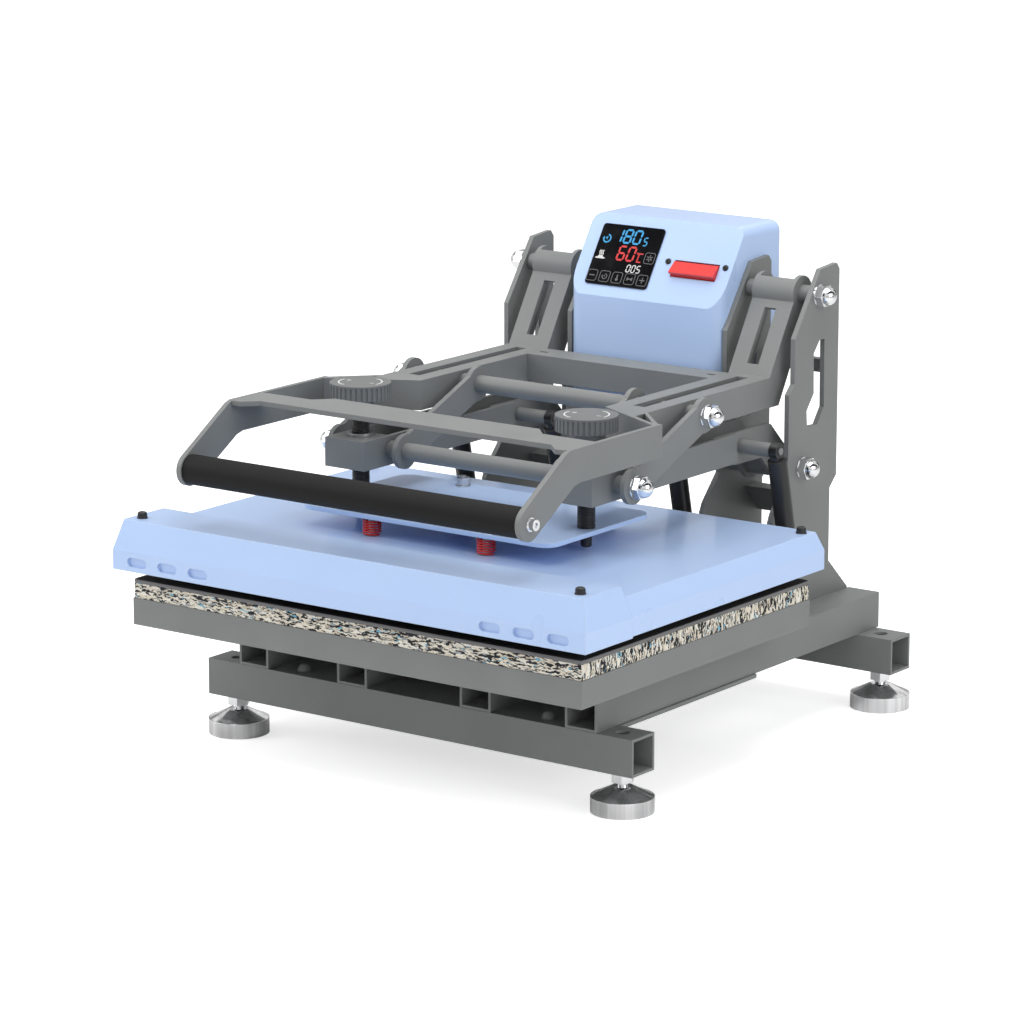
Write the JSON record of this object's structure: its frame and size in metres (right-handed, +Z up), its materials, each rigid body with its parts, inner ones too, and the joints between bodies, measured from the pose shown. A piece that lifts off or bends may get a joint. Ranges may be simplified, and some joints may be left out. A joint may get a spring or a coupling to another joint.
{
  "type": "large format clamshell heat press",
  "caption": "Clamshell heat press: heated platen on a toggle linkage over a foam pad, with a wide grip, pressure knobs, a rear control box and levelling feet.",
  "frame": {"origin": "on the floor under the middle of the machine's bounding box", "axes": "+X to the operator's right, +Y away from the operator, +Z up"},
  "size_m": [0.6302, 0.6947, 0.544],
  "materials": {
    "grey_powder_coat": "fine satin powder coat",
    "blue_powder_coat": "smooth satin paint",
    "chrome_steel": "polished plating",
    "turned_steel": "turned and ground",
    "black_rubber": "matt moulded rubber",
    "silicone_sheet": "matt sheet",
    "bonded_foam": "rebonded chips",
    "black_oxide": "black oxide on cut thread",
    "black_paint": "gloss black paint",
    "heating_aluminium": "coated flat face",
    "ceramic_blanket": "fibre blanket",
    "grey_plastic": "moulded",
    "black_plastic": "moulded",
    "red_plastic": "translucent moulded",
    "red_spring_steel": "red coated spring wire",
    "display_glass": "dark glass with lit symbols",
    "circuit_board": "laminate"
  },
  "bodies": {
    "stand": {"pad_tray": "grey_powder_coat", "pad_foam": "bonded_foam", "pad_sheet": "silicone_sheet", "pad_standoffs": "turned_steel", "base_rails": "grey_powder_coat", "front_foot_beam": "grey_powder_coat", "rear_foot_beam": "grey_powder_coat", "base_plate": "grey_powder_coat", "beam_bolts": "grey_powder_coat", "foot_nuts": "chrome_steel", "uprights": "grey_powder_coat", "upright_ties": "grey_powder_coat", "frame_pivot_bolts": "turned_steel", "frame_nuts": "chrome_steel", "strut_brackets": "grey_powder_coat", "control_box": "blue_powder_coat", "control_box_back": "blue_powder_coat", "display_glass": "display_glass", "panel_screws": "black_plastic", "rocker_housing": "black_plastic", "control_board": "circuit_board", "power_inlet": "black_plastic", "power_relay": "black_plastic"},
    "front_left_leveller": {"front_left_foot": "chrome_steel"},
    "front_right_leveller": {"front_right_foot": "chrome_steel"},
    "rear_left_leveller": {"rear_left_foot": "chrome_steel"},
    "rear_right_leveller": {"rear_right_foot": "chrome_steel"},
    "platen_carriage": {"lower_arms": "grey_powder_coat", "screw_blocks": "grey_powder_coat", "spindle_bushes": "turned_steel", "arm_brackets": "grey_powder_coat", "lower_arm_sleeves": "grey_powder_coat", "strut_pins": "grey_powder_coat"},
    "toggle_links": {"link_plates": "grey_powder_coat", "link_cross_tubes": "grey_powder_coat", "link_rods": "turned_steel", "link_nuts": "chrome_steel"},
    "handle_frame": {"upper_arms": "grey_powder_coat", "handle_plates": "grey_powder_coat", "handle_cross_plate": "grey_powder_coat", "rear_cross_channel": "grey_powder_coat", "grip": "black_rubber", "grip_bolts": "chrome_steel", "upper_arm_sleeves": "grey_powder_coat"},
    "pressure_carrier": {"pressure_plate": "blue_powder_coat", "die_springs": "red_spring_steel"},
    "right_pressure_screw": {"right_spindle": "black_oxide", "right_knob": "grey_plastic"},
    "left_pressure_screw": {"left_spindle": "black_oxide", "left_knob": "grey_plastic"},
    "platen": {"platen_cover": "blue_powder_coat", "heating_plate": "heating_aluminium", "heater_element": "turned_steel", "insulation_blanket": "ceramic_blanket", "backing_plate": "turned_steel", "lock_nuts": "chrome_steel", "cover_cap_nuts": "black_plastic"},
    "gas_strut_cylinders": {"strut_cylinders": "black_paint"},
    "gas_strut_rods": {"strut_rods": "turned_steel"},
    "rocker": {"power_rocker": "red_plastic"}
  },
  "joints": [
    {"name": "platen_open", "type": "hinge", "parent": "stand", "child": "platen_carriage", "pos_m": [0, 0.23365, 0.285], "axis": [-1, 0, 0], "range_deg": [0, 42]},
    {"name": "link_swing", "type": "hinge", "parent": "platen_carriage", "child": "toggle_links", "pos_m": [0, -0.09615, 0.3215], "axis": [-1, 0, 0], "range_deg": [-77.83, 1]},
    {"name": "handle_swing", "type": "hinge", "parent": "toggle_links", "child": "handle_frame", "pos_m": [0, 0.03785, 0.3765], "axis": [-1, 0, 0], "range_deg": [-1, 105.65]},
    {"name": "strut_swing", "type": "hinge", "parent": "platen_carriage", "child": "gas_strut_cylinders", "pos_m": [0, 0.14885, 0.321], "axis": [-1, 0, 0], "range_deg": [-28.78, 1]},
    {"name": "strut_extend", "type": "slide", "parent": "gas_strut_cylinders", "child": "gas_strut_rods", "axis": [0, 0.2225, -0.9749], "range_m": [-0.001, 0.044]},
    {"name": "left_screw_turn", "type": "hinge", "parent": "pressure_carrier", "child": "left_pressure_screw", "pos_m": [-0.1525, -0.11615, 0.2745], "axis": [0, 0, 1], "range_deg": [-870, 1734]},
    {"name": "right_screw_turn", "type": "hinge", "parent": "pressure_carrier", "child": "right_pressure_screw", "pos_m": [0.1525, -0.11615, 0.2745], "axis": [0, 0, 1], "range_deg": [-870, 1734]},
    {"name": "pressure_height", "type": "slide", "parent": "platen_carriage", "child": "pressure_carrier", "axis": [0, 0, 1], "range_m": [-0.006, 0.012]},
    {"name": "platen_float", "type": "slide", "parent": "pressure_carrier", "child": "platen", "axis": [0, 0, 1], "range_m": [0, 0.003], "stiffness_N_per_m": 20000, "springref_m": -0.001, "deforming": ["die_springs"]},
    {"name": "rocker_switch", "type": "hinge", "parent": "stand", "child": "rocker", "pos_m": [0.056, 0.23499, 0.49237], "axis": [1, 0, 0], "range_deg": [0, 20]},
    {"name": "front_left_height", "type": "slide", "parent": "stand", "child": "front_left_leveller", "axis": [0, 0, 1], "range_m": [-0.008, 0.004]},
    {"name": "front_right_height", "type": "slide", "parent": "stand", "child": "front_right_leveller", "axis": [0, 0, 1], "range_m": [-0.008, 0.004]},
    {"name": "rear_left_height", "type": "slide", "parent": "stand", "child": "rear_left_leveller", "axis": [0, 0, 1], "range_m": [-0.008, 0.004]},
    {"name": "rear_right_height", "type": "slide", "parent": "stand", "child": "rear_right_leveller", "axis": [0, 0, 1], "range_m": [-0.008, 0.004]}
  ],
  "couplings": [
    {"joint": "link_swing", "follows": "platen_open", "ratio": -1.8292},
    {"joint": "handle_swing", "follows": "platen_open", "ratio": 2.4917},
    {"joint": "strut_swing", "follows": "platen_open", "ratio": -0.66142},
    {"joint": "strut_extend", "follows": "platen_open", "m_per_rad": 0.058657},
    {"joint": "left_screw_turn", "follows": "pressure_height", "rad_per_m": 2513.3},
    {"joint": "right_screw_turn", "follows": "pressure_height", "rad_per_m": 2513.3}
  ]
}
